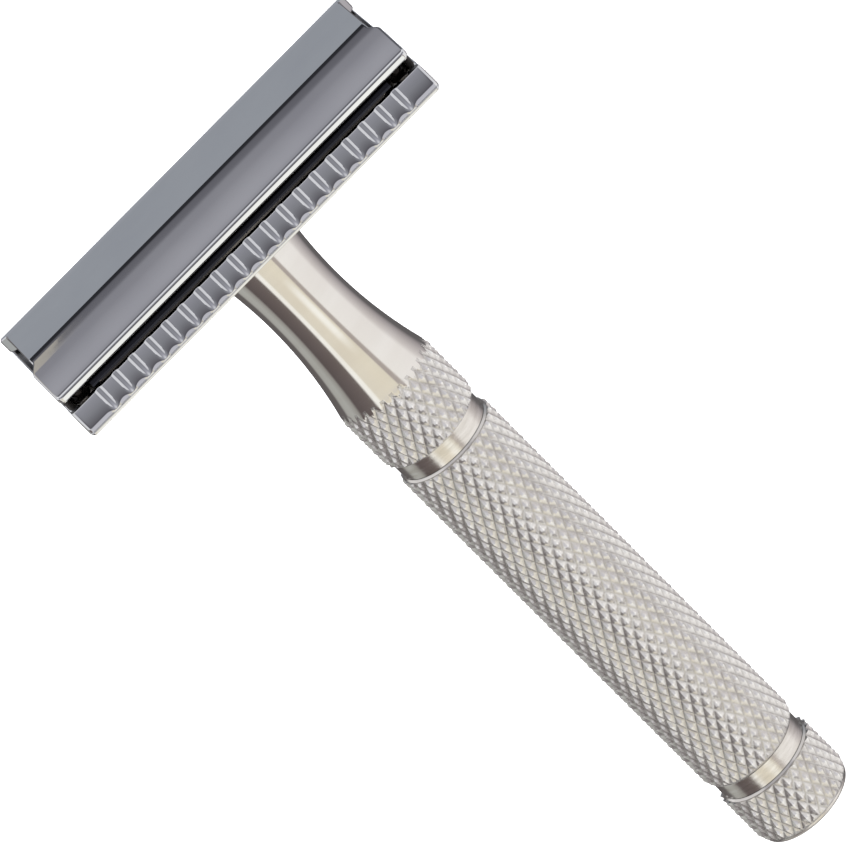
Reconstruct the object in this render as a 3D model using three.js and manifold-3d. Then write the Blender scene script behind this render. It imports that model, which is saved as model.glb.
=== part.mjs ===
// Double-edge safety razor in three main parts: cap, base plate and handle, with its blade.
// Millimetres, +Z up. The razor stands on the flat end of its handle, with the origin at the
// middle of that end. X runs along the head and the blade, Y across it.

import * as THREE from 'three';
import { mergeVertices } from 'three/addons/utils/BufferGeometryUtils.js';
import Module from 'manifold-3d';

const wasm = await Module();
wasm.setup();

// ---- Fits ----
const SEAT_GAP = 0.05; // between faces that are clamped or pressed together
const ROUND = 48; // sides of a handle section
const SMALL_ROUND = 32; // sides of a stud, post or bore

// ---- Handle, from its end upwards ----
const KNOB_LENGTH = 6.5;
const REAR_BAND_LENGTH = 1.85;
const BARREL_LENGTH = 43.65;
const FRONT_BAND_LENGTH = 1.85;
const COLLAR_LENGTH = 6.2;
const NECK_FLARE_LENGTH = 22.05; // polished part, from the collar to the seat in the head

const KNURL_R = 5.33; // over the crests of the knurling
const BAND_R = 4.85;
const RIM_CHAMFER = 0.4; // at the ends of the knurled sections
const KNOB_END_R = 0.5; // rounding round the flat end
const NECK_MIN_R = 3.88;
const NECK_MIN_HEIGHT = 11.15; // above the collar
const NECK_ARC_R = 46.5; // hollow sweep of the polished neck
const NECK_STEPS = 10;

const ROD_R = 2; // tie rod that holds the handle's sections together
const ROD_HOLD = 4.7; // length of rod inside the knob
const ROD_REACH = 9; // length of rod inside the neck
const BARREL_BORE_R = 3.4;
const SPIGOT_R = 3.3; // shoulders of the bands, which centre the barrel
const SPIGOT_LENGTH = 2;

const BUSH_R = 3.1; // threaded bush in the neck
const BUSH_LENGTH = 9;
const BUSH_SETBACK = 0.6; // below the neck's top face
const BUSH_WELL = 2; // free depth under the bush for the end of the stud

// ---- Head, measured from the underside of the safety bars ----
const HEAD_LENGTH = 43.5;
const CORNER_R = 0.5; // of the plates, seen from above
const CORNER_STEPS = 3;

const CAP_TOP = 6.17;
const CAP_FLAT_HALF = 3.65; // half width of the flat top
const CAP_HALF = 9.9; // half width at the lips
const CAP_LIP_TOP = 3.83;
const CAP_NOTCH_DEPTH = 0.68; // finger notch in each end
const CAP_NOTCH_HALF = 4.66;
const CAP_NOTCH_SLANT = 0.9;

const CROWN_Z = 4.03; // top of the base plate
const CROWN_R = 47.4; // curve that bends the blade
const CROWN_HALF = 8.6;
const BLADE_THICKNESS = 0.1;
const BLADE_CLEARANCE = 0.12; // under the blade
const CAP_CLEARANCE = 0.15; // over the blade
const ARC_STEPS = 12;

const BAR_INNER = 10.35;
const BAR_TOP_OUTER = 11.05;
const BAR_FACE_FOOT = 12.0;
const BAR_OUTER = 12.15;
const BAR_TOP = 2.55;
const BAR_FACE_FOOT_Z = 0.68;
const BAR_EDGE_Z = 0.36;
const BAR_BOTTOM_INNER = 10.6;
const PLATE_UNDERSIDE = 1.9;
const PLATE_END_R = 1.3; // rounding of the plate's upper ends

const SCALLOPS = 19; // grooves in each safety bar
const SCALLOP_PITCH = 2.05;
const SCALLOP_R = 0.62;
const SCALLOP_DEPTH = 0.17;
const SCALLOP_LENGTH = 2.6;
const SCALLOP_SIDES = 14;

const DRAIN_HALF = 18.1; // lather slot behind each bar
const POCKET_X = 19.9; // corner pockets for the cap's lugs
const POCKET_LENGTH = 2.0;
const POCKET_INNER = 7.6;
const POCKET_FLOOR = 2.2;
const LUG_R = 0.65;
const LUG_Y = 8.35;
const LUG_END = 2.55;

const HUB_R = 6.5; // boss that the neck seats in
const HUB_BOTTOM = 0.4;
const HUB_SEAT_R = 5.35;
const HUB_SEAT_Z = 0.9;

const STUD_R = 2.5; // M5 stud, at its crests
const STUD_EMBED = 1.2; // depth held in the cap
const STUD_TIP_CHAMFER = 0.6;
const STUD_ENGAGED = 8.2; // length inside the neck
const BUSH_BORE_R = 2.6;
const STUD_HOLE_R = 2.85; // through the base plate
const POST_X = 13.5;
const POST_R = 1.35;
const POST_EMBED = 1.0;
const POST_END = 1.3;
const POST_HOLE_R = 1.7;

const BLADE_LENGTH = 42.9;
const BLADE_WIDTH = 22;
const BLADE_EDGE_HALF = 18.6; // half length of the cutting edge
const BLADE_TAB_HALF = 6.5;
const BLADE_HUB_R = 2.8;
const BLADE_SLOT_HALF = 0.6;
const BLADE_SLOT_REACH = 17.2;

// ---- Levels that follow from the sizes above ----
const rearBandZ = KNOB_LENGTH;
const barrelZ = rearBandZ + REAR_BAND_LENGTH;
const frontBandZ = barrelZ + BARREL_LENGTH;
const collarZ = frontBandZ + FRONT_BAND_LENGTH;
const neckTopZ = collarZ + COLLAR_LENGTH + NECK_FLARE_LENGTH;
const headZ = neckTopZ + SEAT_GAP - HUB_SEAT_Z;

const arcCentreZ = CROWN_Z - CROWN_R;
const bladeInnerR = CROWN_R + BLADE_CLEARANCE;
const bladeOuterR = bladeInnerR + BLADE_THICKNESS;
const capUnderR = bladeOuterR + CAP_CLEARANCE;
const capUnderZ = arcCentreZ + capUnderR;

// ---- Shapes ----
function arcHeight(radius, y) {
  return arcCentreZ + Math.sqrt(radius * radius - y * y);
}

// Points of a curve that is concentric with the blade, from y = from to y = to.
function crownArc(radius, from, to) {
  const points = [];
  for (let i = 0; i <= ARC_STEPS; i++) {
    const y = THREE.MathUtils.lerp(from, to, i / ARC_STEPS);
    points.push([y, arcHeight(radius, y)]);
  }
  return points;
}

function shapeOf(points) {
  return new THREE.Shape(points.map(([x, y]) => new THREE.Vector2(x, y)));
}

// Profile in [radius, height] turned round the Z axis.
function turned(profile, sides = ROUND) {
  const points = profile.map(([r, z]) => new THREE.Vector2(r, z));
  return new THREE.LatheGeometry(points, sides).rotateX(Math.PI / 2);
}

// Outline in [y, z] drawn out along X, centred on X = 0.
function alongX(outline, length) {
  const geometry = new THREE.ExtrudeGeometry(shapeOf(outline), { depth: length, bevelEnabled: false });
  geometry.translate(0, 0, -length / 2);
  const axes = new THREE.Matrix4().makeBasis(
    new THREE.Vector3(0, 1, 0),
    new THREE.Vector3(0, 0, 1),
    new THREE.Vector3(1, 0, 0),
  );
  return geometry.applyMatrix4(axes);
}

// Outline in [x, z] drawn out along Y, centred on Y = 0.
function alongY(shape, length, curveSteps = CORNER_STEPS) {
  const options = { depth: length, bevelEnabled: false, curveSegments: curveSteps };
  return new THREE.ExtrudeGeometry(shape, options).translate(0, 0, -length / 2).rotateX(Math.PI / 2);
}

// Outline in [x, y] drawn up along Z from low to high.
function alongZ(shape, low, high, curveSteps = CORNER_STEPS) {
  const options = { depth: high - low, bevelEnabled: false, curveSegments: curveSteps };
  return new THREE.ExtrudeGeometry(shape, options).translate(0, 0, low);
}

function upright(radius, low, high, x = 0, y = 0) {
  const geometry = new THREE.CylinderGeometry(radius, radius, high - low, SMALL_ROUND);
  return geometry.rotateX(Math.PI / 2).translate(x, y, (low + high) / 2);
}

function block(x, y, z, lengthX, lengthY, lengthZ) {
  return new THREE.BoxGeometry(lengthX, lengthY, lengthZ).translate(x, y, z);
}

// ---- Solids ----
function solid(geometry) {
  const bare = geometry.clone();
  bare.deleteAttribute('normal');
  bare.deleteAttribute('uv');
  const merged = mergeVertices(bare, 1e-4);
  return new wasm.Manifold(new wasm.Mesh({
    numProp: 3,
    vertProperties: new Float32Array(merged.attributes.position.array),
    triVerts: new Uint32Array(merged.index.array),
  }));
}

function toGeometry(manifold) {
  const mesh = manifold.getMesh();
  const geometry = new THREE.BufferGeometry();
  geometry.setAttribute('position', new THREE.BufferAttribute(mesh.vertProperties, 3));
  geometry.setIndex(new THREE.BufferAttribute(mesh.triVerts, 1));
  geometry.computeVertexNormals();
  return geometry;
}

function cutAll(body, cutters) {
  return cutters.reduce((rest, cutter) => rest.subtract(solid(cutter)), body);
}

function addAll(body, extras) {
  return extras.reduce((sum, extra) => sum.add(solid(extra)), body);
}

const SIDES = [-1, 1];
const CORNERS = SIDES.flatMap((sx) => SIDES.map((sy) => [sx, sy]));

// ---- Materials ----
const FINISHES = {
  chrome: { color: 0x9b9ba0, roughness: 0.08, metalness: 1 },
  polished_steel: { color: 0xcfc9be, roughness: 0.1, metalness: 1 },
  knurled_steel: { color: 0xc3beb6, roughness: 0.35, metalness: 1 },
  turned_steel: { color: 0xc9c2b4, roughness: 0.25, metalness: 1 },
  stud_steel: { color: 0xb4b2ae, roughness: 0.3, metalness: 1 },
  brass: { color: 0xb5924c, roughness: 0.3, metalness: 1 },
  blade_steel: { color: 0x33363c, roughness: 0.3, metalness: 1 },
};

function piece(name, geometry, finish, z = 0) {
  const mesh = new THREE.Mesh(geometry, new THREE.MeshStandardMaterial(FINISHES[finish]));
  mesh.name = name;
  mesh.position.z = z;
  return mesh;
}

// ---- Handle pieces, each built up from its own lower face ----
function knobGeometry() {
  const top = KNOB_LENGTH - SEAT_GAP;
  const boreFloor = KNOB_LENGTH - ROD_HOLD - SEAT_GAP;
  const rounding = [0, 1, 2, 3, 4].map((i) => {
    const angle = (i / 4) * (Math.PI / 2);
    const r = KNURL_R - KNOB_END_R + KNOB_END_R * Math.sin(angle);
    return [r, KNOB_END_R * (1 - Math.cos(angle))];
  });
  return turned([
    [0, 0],
    ...rounding,
    [KNURL_R, top - RIM_CHAMFER],
    [KNURL_R - RIM_CHAMFER, top],
    [ROD_R + SEAT_GAP, top],
    [ROD_R + SEAT_GAP, boreFloor],
    [0, boreFloor],
  ]);
}

// A band is a plain ring with a shoulder that reaches into the barrel's bore.
function bandGeometry(length, shoulderUp) {
  const top = length - SEAT_GAP;
  const bore = ROD_R + SEAT_GAP;
  const profile = [
    [bore, 0],
    [BAND_R, 0],
    [BAND_R, top],
    [SPIGOT_R, top],
    [SPIGOT_R, top + SPIGOT_LENGTH],
    [bore, top + SPIGOT_LENGTH],
    [bore, 0],
  ];
  if (shoulderUp) return turned(profile);
  return turned(profile.map(([r, z]) => [r, top - z]).reverse());
}

function barrelGeometry() {
  const top = BARREL_LENGTH - SEAT_GAP;
  return turned([
    [BARREL_BORE_R, 0],
    [KNURL_R - RIM_CHAMFER, 0],
    [KNURL_R, RIM_CHAMFER],
    [KNURL_R, top - RIM_CHAMFER],
    [KNURL_R - RIM_CHAMFER, top],
    [BARREL_BORE_R, top],
    [BARREL_BORE_R, 0],
  ]);
}

function neckRadius(heightAboveCollar) {
  const away = heightAboveCollar - NECK_MIN_HEIGHT;
  const sweep = NECK_MIN_R + NECK_ARC_R - Math.sqrt(NECK_ARC_R ** 2 - away ** 2);
  return Math.min(sweep, KNURL_R);
}

function neckGeometry() {
  const top = COLLAR_LENGTH + NECK_FLARE_LENGTH;
  const bushFloor = top - BUSH_SETBACK - BUSH_LENGTH - SEAT_GAP;
  const wellFloor = bushFloor - BUSH_WELL;
  const flare = [];
  for (let i = 0; i <= NECK_STEPS; i++) {
    const height = (i / NECK_STEPS) * NECK_FLARE_LENGTH;
    flare.push([neckRadius(height), COLLAR_LENGTH + height]);
  }
  return turned([
    [0, ROD_REACH + SEAT_GAP],
    [ROD_R + SEAT_GAP, ROD_REACH + SEAT_GAP],
    [ROD_R + SEAT_GAP, 0],
    [KNURL_R - RIM_CHAMFER / 2, 0],
    [KNURL_R, RIM_CHAMFER / 2],
    ...flare,
    [BUSH_R + SEAT_GAP, top],
    [BUSH_R + SEAT_GAP, bushFloor],
    [BUSH_BORE_R, bushFloor],
    [BUSH_BORE_R, wellFloor],
    [0, wellFloor],
  ]);
}

function bushGeometry() {
  return turned([
    [BUSH_BORE_R, 0],
    [BUSH_R, 0],
    [BUSH_R, BUSH_LENGTH],
    [BUSH_BORE_R, BUSH_LENGTH],
    [BUSH_BORE_R, 0],
  ], SMALL_ROUND);
}

function buildHandle() {
  const handle = new THREE.Group();
  const rodBottom = KNOB_LENGTH - ROD_HOLD;
  const rodTop = collarZ + ROD_REACH;
  const bushZ = neckTopZ - BUSH_SETBACK - BUSH_LENGTH;
  handle.add(
    piece('end_knob', knobGeometry(), 'knurled_steel'),
    piece('rear_band_ring', bandGeometry(REAR_BAND_LENGTH, true), 'turned_steel', rearBandZ),
    piece('grip_barrel', barrelGeometry(), 'knurled_steel', barrelZ),
    piece('front_band_ring', bandGeometry(FRONT_BAND_LENGTH, false), 'turned_steel', frontBandZ),
    piece('neck', neckGeometry(), 'polished_steel', collarZ),
    piece('thread_bush', bushGeometry(), 'brass', bushZ),
    piece('tie_rod', upright(ROD_R, rodBottom, rodTop), 'stud_steel'),
  );
  return handle;
}

// ---- Head pieces ----
function plateOutline(halfWidth) {
  const x = HEAD_LENGTH / 2;
  const shape = new THREE.Shape();
  shape.moveTo(-x + CORNER_R, -halfWidth);
  shape.lineTo(x - CORNER_R, -halfWidth);
  shape.quadraticCurveTo(x, -halfWidth, x, -halfWidth + CORNER_R);
  shape.lineTo(x, halfWidth - CORNER_R);
  shape.quadraticCurveTo(x, halfWidth, x - CORNER_R, halfWidth);
  shape.lineTo(-x + CORNER_R, halfWidth);
  shape.quadraticCurveTo(-x, halfWidth, -x, halfWidth - CORNER_R);
  shape.lineTo(-x, -halfWidth + CORNER_R);
  shape.quadraticCurveTo(-x, -halfWidth, -x + CORNER_R, -halfWidth);
  return shape;
}

function capGeometry() {
  const section = [
    ...crownArc(capUnderR, CAP_HALF, -CAP_HALF),
    [-CAP_HALF, CAP_LIP_TOP],
    [-CAP_FLAT_HALF, CAP_TOP],
    [CAP_FLAT_HALF, CAP_TOP],
    [CAP_HALF, CAP_LIP_TOP],
  ];
  const end = HEAD_LENGTH / 2;
  const notches = SIDES.map((side) => alongZ(shapeOf([
    [side * (end - CAP_NOTCH_DEPTH), -CAP_NOTCH_HALF],
    [side * (end + 1), -CAP_NOTCH_HALF - CAP_NOTCH_SLANT * (1 + 1 / CAP_NOTCH_DEPTH)],
    [side * (end + 1), CAP_NOTCH_HALF + CAP_NOTCH_SLANT * (1 + 1 / CAP_NOTCH_DEPTH)],
    [side * (end - CAP_NOTCH_DEPTH), CAP_NOTCH_HALF],
  ]), 0, CAP_TOP + 1));
  const studHole = upright(STUD_R + SEAT_GAP, 0, capUnderZ + STUD_EMBED + SEAT_GAP);
  const postHoles = SIDES.map((side) => (
    upright(POST_R + SEAT_GAP, 0, capUnderZ + POST_EMBED + SEAT_GAP, side * POST_X)
  ));
  const lugs = CORNERS.map(([sx, sy]) => (
    upright(LUG_R, LUG_END, CAP_LIP_TOP, sx * POCKET_X, sy * LUG_Y)
  ));
  const shell = solid(alongX(section, HEAD_LENGTH + 2))
    .intersect(solid(alongZ(plateOutline(CAP_HALF), -1, CAP_TOP + 1)));
  return toGeometry(addAll(cutAll(shell, [...notches, studHole, ...postHoles]), lugs));
}

// One groove of a safety bar: a round cutter that leans with the bar's face and runs out
// of it towards the foot.
function scallopCutter(x, side) {
  const faceRun = BAR_FACE_FOOT - BAR_TOP_OUTER;
  const faceDrop = BAR_TOP - BAR_FACE_FOOT_Z;
  const lean = Math.atan2(faceRun, faceDrop);
  const taper = SCALLOP_DEPTH / Math.hypot(faceRun, faceDrop);
  const offset = (SCALLOP_R - SCALLOP_DEPTH) / Math.cos(lean);
  const cutter = new THREE.CylinderGeometry(SCALLOP_R, SCALLOP_R, 2 * SCALLOP_LENGTH, SCALLOP_SIDES);
  cutter.rotateX(Math.PI / 2);
  cutter.rotateX(side * (lean + taper));
  return cutter.translate(x, side * (BAR_TOP_OUTER + offset), BAR_TOP);
}

function basePlateGeometry() {
  const half = [
    [BAR_OUTER, 0],
    [BAR_OUTER, BAR_EDGE_Z],
    [BAR_FACE_FOOT, BAR_FACE_FOOT_Z],
    [BAR_TOP_OUTER, BAR_TOP],
    [BAR_INNER, BAR_TOP],
  ];
  const mirrored = half.map(([y, z]) => [-y, z]).reverse();
  const section = [
    ...half,
    ...crownArc(CROWN_R, CROWN_HALF, -CROWN_HALF),
    ...mirrored,
    [-BAR_BOTTOM_INNER, 0],
    [-BAR_INNER, PLATE_UNDERSIDE],
    [BAR_INNER, PLATE_UNDERSIDE],
    [BAR_BOTTOM_INNER, 0],
  ];

  const end = HEAD_LENGTH / 2;
  const crest = CROWN_Z + SEAT_GAP;
  const side = new THREE.Shape();
  side.moveTo(-end, -1);
  side.lineTo(end, -1);
  side.lineTo(end, crest - 2 * PLATE_END_R);
  side.quadraticCurveTo(end, crest, end - PLATE_END_R, crest);
  side.lineTo(-end + PLATE_END_R, crest);
  side.quadraticCurveTo(-end, crest, -end, crest - 2 * PLATE_END_R);

  const slotY = (CROWN_HALF + BAR_INNER) / 2;
  const slotWidth = BAR_INNER - CROWN_HALF;
  const drains = SIDES.map((sy) => (
    block(0, sy * slotY, CROWN_Z / 2, 2 * DRAIN_HALF, slotWidth, 2 * CROWN_Z)
  ));
  const pocketY = (POCKET_INNER + BAR_INNER) / 2;
  const pockets = CORNERS.map(([sx, sy]) => block(
    sx * POCKET_X,
    sy * pocketY,
    POCKET_FLOOR + CROWN_Z / 2,
    POCKET_LENGTH,
    BAR_INNER - POCKET_INNER,
    CROWN_Z,
  ));
  const scallops = [];
  for (let i = 0; i < SCALLOPS; i++) {
    const x = (i - (SCALLOPS - 1) / 2) * SCALLOP_PITCH;
    SIDES.forEach((sy) => scallops.push(scallopCutter(x, sy)));
  }
  const postHoles = SIDES.map((sx) => upright(POST_HOLE_R, 0, CROWN_Z + 1, sx * POST_X));

  const body = solid(alongX(section, HEAD_LENGTH + 2))
    .intersect(solid(alongZ(plateOutline(BAR_OUTER), -1, CROWN_Z + 1)))
    .intersect(solid(alongY(side, 2 * BAR_OUTER + 2)));
  const withHub = body.add(solid(upright(HUB_R, HUB_BOTTOM, PLATE_UNDERSIDE + 0.5)));
  const seat = upright(HUB_SEAT_R, 0, HUB_SEAT_Z);
  const studHole = upright(STUD_HOLE_R, 0, CROWN_Z + 1);
  return toGeometry(cutAll(withHub, [...drains, ...pockets, ...scallops, ...postHoles, seat, studHole]));
}

function bladeGeometry() {
  const edgeY = bladeOuterR * Math.sin(BLADE_WIDTH / 2 / bladeOuterR);
  const sheet = alongX([
    ...crownArc(bladeOuterR, edgeY, -edgeY),
    ...crownArc(bladeInnerR, -edgeY, edgeY),
  ], BLADE_LENGTH);
  const cornerX = (BLADE_EDGE_HALF + BLADE_LENGTH / 2 + 1) / 2;
  const cornerLength = BLADE_LENGTH / 2 + 1 - BLADE_EDGE_HALF;
  const cornerY = (BLADE_TAB_HALF + BLADE_WIDTH / 2 + 1) / 2;
  const cornerWidth = BLADE_WIDTH / 2 + 1 - BLADE_TAB_HALF;
  const corners = CORNERS.map(([sx, sy]) => (
    block(sx * cornerX, sy * cornerY, CROWN_Z, cornerLength, cornerWidth, 2 * CROWN_Z)
  ));
  const slot = block(0, 0, CROWN_Z, 2 * BLADE_SLOT_REACH, 2 * BLADE_SLOT_HALF, 2 * CROWN_Z);
  const hub = upright(BLADE_HUB_R, 0, 2 * CROWN_Z);
  const postHoles = SIDES.map((sx) => upright(POST_HOLE_R, 0, 2 * CROWN_Z, sx * POST_X));
  return toGeometry(cutAll(solid(sheet), [...corners, slot, hub, ...postHoles]));
}

function studGeometry() {
  const top = capUnderZ + STUD_EMBED;
  const tip = neckTopZ - STUD_ENGAGED - headZ;
  return turned([
    [0, tip],
    [STUD_R - STUD_TIP_CHAMFER, tip],
    [STUD_R, tip + STUD_TIP_CHAMFER],
    [STUD_R, top],
    [0, top],
  ], SMALL_ROUND);
}

function buildHead() {
  const head = new THREE.Group();
  head.position.z = headZ;
  head.add(
    piece('base_plate', basePlateGeometry(), 'chrome'),
    piece('double_edge_blade', bladeGeometry(), 'blade_steel'),
    piece('top_cap', capGeometry(), 'chrome'),
    piece('cap_stud', studGeometry(), 'stud_steel'),
  );
  SIDES.forEach((sx, i) => {
    const post = upright(POST_R, POST_END, capUnderZ + POST_EMBED, sx * POST_X);
    head.add(piece(`alignment_post_${i + 1}`, post, 'stud_steel'));
  });
  return head;
}

const group = new THREE.Group();
group.add(buildHandle(), buildHead());

export default group;
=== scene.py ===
"""Looks of the double-edge safety razor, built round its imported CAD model.

Lengths are in millimetres until a mesh is made, and the axes are the CAD's: +Z up the handle,
X along the head, Y across it. Heights and outlines start from the boxes of the CAD nodes.
"""
import math

import bmesh
import bpy
import numpy as np
from mathutils import Matrix, Vector


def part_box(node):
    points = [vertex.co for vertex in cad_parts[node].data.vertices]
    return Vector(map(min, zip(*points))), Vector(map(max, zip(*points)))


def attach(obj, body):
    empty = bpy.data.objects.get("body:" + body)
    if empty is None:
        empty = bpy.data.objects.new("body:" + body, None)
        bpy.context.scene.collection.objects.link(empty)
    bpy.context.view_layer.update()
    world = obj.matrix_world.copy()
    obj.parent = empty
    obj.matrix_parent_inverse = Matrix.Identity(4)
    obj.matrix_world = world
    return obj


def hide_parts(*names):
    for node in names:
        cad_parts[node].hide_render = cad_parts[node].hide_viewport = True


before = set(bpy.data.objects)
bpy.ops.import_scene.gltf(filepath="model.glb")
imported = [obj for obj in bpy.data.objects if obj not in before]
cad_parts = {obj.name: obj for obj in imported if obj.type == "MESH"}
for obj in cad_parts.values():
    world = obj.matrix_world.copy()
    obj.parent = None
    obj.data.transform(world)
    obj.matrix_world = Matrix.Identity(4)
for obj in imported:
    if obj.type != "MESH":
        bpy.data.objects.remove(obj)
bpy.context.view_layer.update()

MM = 0.001


def box_mm(node):
    """Lowest and highest corner of a CAD node, in millimetres."""
    low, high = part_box(node)
    return np.array(low) / MM, np.array(high) / MM


# ---- Levels and sizes that come from the CAD nodes ----
KNOB_LOW, KNOB_HIGH = box_mm("end_knob")
BARREL_LOW, BARREL_HIGH = box_mm("grip_barrel")
NECK_LOW, NECK_HIGH = box_mm("neck")
PLATE_LOW, PLATE_HIGH = box_mm("base_plate")
CAP_HIGH = box_mm("top_cap")[1]
STUD_LOW, STUD_HIGH = box_mm("cap_stud")
POST_LOW, POST_HIGH = box_mm("alignment_post_2")
BLADE_HIGH = box_mm("double_edge_blade")[1]

CREST_R = KNOB_HIGH[0]  # over the crests of the knurling
HEAD_Z = PLATE_LOW[2]  # underside of the safety bars
HEAD_HALF = PLATE_HIGH[0]
PLATE_HALF = PLATE_HIGH[1]
CAP_HALF = CAP_HIGH[1]
CAP_TOP = CAP_HIGH[2] - HEAD_Z
CROWN_TOP = PLATE_HIGH[2] - HEAD_Z

# ---- Handle ----
BAND_R = 4.85
BAND_EDGE = 0.012  # chamfer of a band's face
SHOULDER_R = 3.3  # of a band's shoulder inside the barrel
SHOULDER_LENGTH = 2.0
SHOULDER_CHAMFER = 0.15
TEETH = 30  # diamonds round the handle
TOOTH_COLUMNS = 10
KNURL_PERIOD = 1.91  # height of one diamond
KNURL_DEPTH = 0.3
KNURL_ROOT_R = CREST_R - KNURL_DEPTH
COLUMNS = TEETH * TOOTH_COLUMNS
KNURL_STEP = KNURL_PERIOD / TOOTH_COLUMNS
RIM_LIP = 0.22  # height of the plain ring at the upper rim of a knurled section
RIM_LIP_R = 5.03
RIM_GAP = 0.03  # between the knurling and the ring
RIM_CUT = 0.55  # height of the chamfer at the lower rim
KNOB_CUT = 1.5  # height over which the knob's end narrows
KNOB_PLAIN = 0.5  # height of the plain rounded rim at the knob's end
KNOB_FOOT_R = 4.98
ROD_BORE_R = 2.05
ROD_BORE_FLOOR = 1.8
BARREL_BORE_R = 3.4
NECK_MIN_R = 3.88
NECK_MIN_Z = 71.2
NECK_ARC_R = 46.5
NECK_CHAMFER = 0.12
FLARE_FROM = 60.0  # above this height the neck may show its polished face
BUSH_BORE_R = 3.15
BUSH_DEPTH = 9.65
WELL_R = 2.6
WELL_DEPTH = 11.65
ROD_WELL = 9.05
SHARP_ON_KNURL = 22  # degrees between two faces from which their edge is sharp

# ---- Base plate, measured from the underside of the safety bars ----
CROWN_R = 47.4
ARC_CENTRE = CROWN_TOP - CROWN_R
CROWN_HALF = 8.6
SLOT_INNER = 8.82
PLATE_UNDERSIDE = 1.9
PLATE_REACH = HEAD_HALF - 0.03
PLATE_END_ROWS = 1.5  # length of the closely spaced rows at each end
PLATE_END_RUN = 1.3
PLATE_END_DROP = 2.6
PLATE_END_CREST = CROWN_TOP + 0.05
BAR_INNER = 10.35
BAR_LAND = 2.55
LAND_OUTER = 11.05
FACE_FOOT = (12.0, 0.68)
FACE_SLOPE = (FACE_FOOT[0] - LAND_OUTER) / (BAR_LAND - FACE_FOOT[1])
BAR_TOP_R = 0.07
BAR_BULGE = 0.03
BAR_EDGE_Z = 0.36
BAR_BOTTOM_INNER = 10.6
BAR_WALL = [(BAR_BOTTOM_INNER, 0.05), (10.37, 1.9), (BAR_INNER, 2.0), (BAR_INNER, 2.49)]
BAR_FOOT_R = 0.38
FOOT_BAND_SIDE = (12.115, 0.46)  # (y, z) of the upright band at the face's foot, by a scallop
FOOT_BAND_MIDDLE = (12.066, 0.71)  # and half-way between two scallops
CORNER_R = 0.5
SCALLOPS = 19
SCALLOP_PITCH = 2.05
SCALLOP_R = 0.55
SCALLOP_DEPTH = 0.15
SCALLOP_STATIONS = 20
DRAIN_HALF = 18.1
DRAIN_R = 0.7
POCKET_X = 19.9
POCKET_HALF = 1.0
POCKET_INNER = 7.6
POCKET_FLOOR = 2.2
POCKET_R = 0.45
# (radius, height) of the hub under the plate, from the neck's seat out, round and into the plate.
HUB_PROFILE = [
    (2.45, 0.9), (5.25, 0.9), (5.35, 0.8), (5.35, 0.5), (5.45, 0.4), (6.3, 0.4), (6.44, 0.46),
    (6.5, 0.6), (6.5, 1.6), (6.6, 1.8), (6.8, 1.92), (6.8, 2.2), (2.45, 2.2),
]
STUD_HOLE_R = 2.85
POST_X = 13.5
POST_HOLE_R = 1.7

# ---- Cap, stud and blade, measured the same way ----
CAP_UNDER_R = CROWN_R + 0.37
CAP_FLAT_HALF = 3.62
CAP_LIP_TOP = 3.83
CAP_LIP_R = 0.07
CAP_END_R = 0.24
# Lean of the flank below the level, in degrees, at distances from the edge of the flat top.
CAP_FLANK_PLACES = [0, 0.05, 0.55, 0.75, 1.5, 2.0, 3.2, 6.0]
CAP_FLANK_LEANS = [3.5, 5.5, 9.5, 14.5, 16.8, 18.9, 20.2, 21.4]
# The polished edge below it: lean of the normal above the horizon, from and to, and length.
CAP_EDGE = [
    (68, 61, 0.19), (61, 52, 0.03), (52, 42, 0.12),
    (42, 29, 0.03), (29, 20, 0.15), (20, 2, 0.05),
]
CAP_EDGE_STEPS = 4
CAP_EDGE_REACH = 0.36  # how far in from the lip the polished edge starts
NOTCH_DEPTH = 0.68
NOTCH_HALF = 4.66
NOTCH_SLANT = 0.9
# Where the side of the finger notch bends, and how much of the notch is closed there.
NOTCH_BENDS = [
    NOTCH_HALF - 0.12, NOTCH_HALF + 0.05,
    NOTCH_HALF + NOTCH_SLANT - 0.12, NOTCH_HALF + NOTCH_SLANT + 0.1,
]
NOTCH_SHARES = [0.0, 0.1, 0.9, 1.0]
LUG_R = 0.65
LUG_Y = 8.35
LUG_END = 2.55
THREAD_PITCH = 0.8
THREAD_DEPTH = 0.43
THREAD_RUN_IN = 0.6
STUD_COLUMNS = 48
BLADE_IN_R = CROWN_R + 0.12
BLADE_THICK = 0.1
BLADE_GRIND = 0.26  # width of the ground edge
BLADE_EDGE_HALF = 18.6
BLADE_TAB_HALF = 6.5
GROUND_FROM = (0.01062, 0.01068)  # metres from the middle, where the bright edge starts

# ---- Looks ----
KNURL_METALLIC = 0.93
KEY_POWER = 16.0
FILL_POWER = 14.0
LIGHT_TARGET = (0, 0, 0.04)
FLOOR_GLOW = 0.62
FLOOR_HALF = 3000.0
FLOOR_DROP = 0.02

# ---- Studio that the polished parts mirror, in degrees of azimuth and elevation ----
CARD_TURNS = (-14, 0, 4, 13)
CARD_LEVELS = (-36, -26, -18, -8)
CARD_SHARE = 0.8
REAR_CARD_TURNS = (166, 171)
REAR_CARD_LEVELS = (-27, -24, 8, 12)
BOUNCE_LEVELS = (-56, -46)
BOUNCE_SHARE = 0.34  # how much of the pale floor the tent shows low down
HORIZON_LEVELS = (1, 5)
SIDE_TURNS = (42, 54)
BACK_LEFT_TURNS = (-160, -148)
BACK_RIGHT_TURNS = (100, 128)
PANEL_LEVELS = (51.8, 60.0)
PANEL_EDGE = (-0.0085, -0.0102)  # X of the direction to its right edge, at its foot and top
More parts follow.
